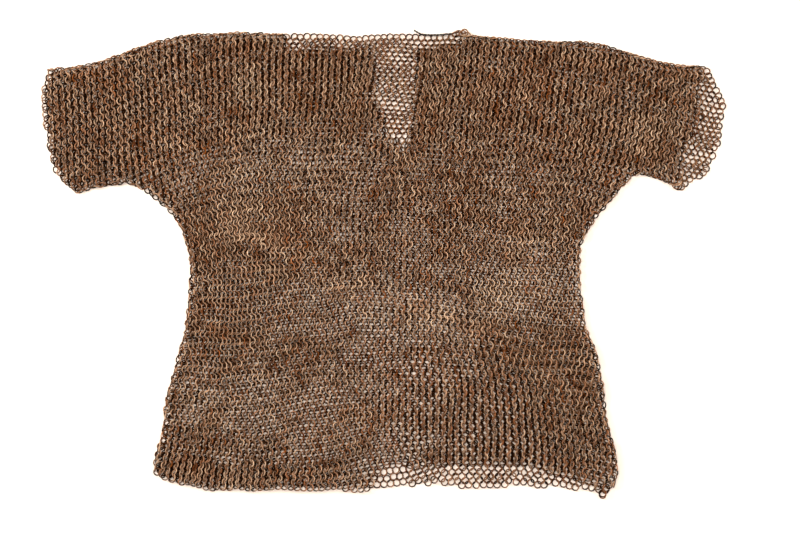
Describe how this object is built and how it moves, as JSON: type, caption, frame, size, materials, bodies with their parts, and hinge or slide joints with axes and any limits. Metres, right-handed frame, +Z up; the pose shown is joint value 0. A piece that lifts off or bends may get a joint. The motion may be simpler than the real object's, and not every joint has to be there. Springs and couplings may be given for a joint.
{
  "type": "chainmail hauberk",
  "caption": "Short-sleeved shirt of linked iron rings laid flat, its front layer on its back layer, with an open neck, a tapering front slit and a longer back hem.",
  "frame": {"origin": "middle of the shirt's outline, on the surface that it lies on", "axes": "+X from the wearer's right cuff to the left one, +Y from the hem to the neck, +Z up out of the front layer"},
  "size_m": [1.0024, 0.691, 0.0143],
  "materials": {
    "front_rings": "lightly flattened iron wire with a rust-brown patina, worn to grey on the high spots",
    "back_rings": "lightly flattened iron wire with a darker rust-brown patina",
    "tie_wire": "blackened twisted iron wire"
  },
  "bodies": {
    "root": {"front_yoke": "front_rings", "front_waist": "front_rings", "front_skirt": "front_rings", "front_sleeve_left": "front_rings", "front_sleeve_right": "front_rings", "back_yoke": "back_rings", "back_waist": "back_rings", "back_skirt": "back_rings", "back_sleeve_left": "back_rings", "back_sleeve_right": "back_rings", "neck_tie_wire": "tie_wire"}
  },
  "joints": []
}
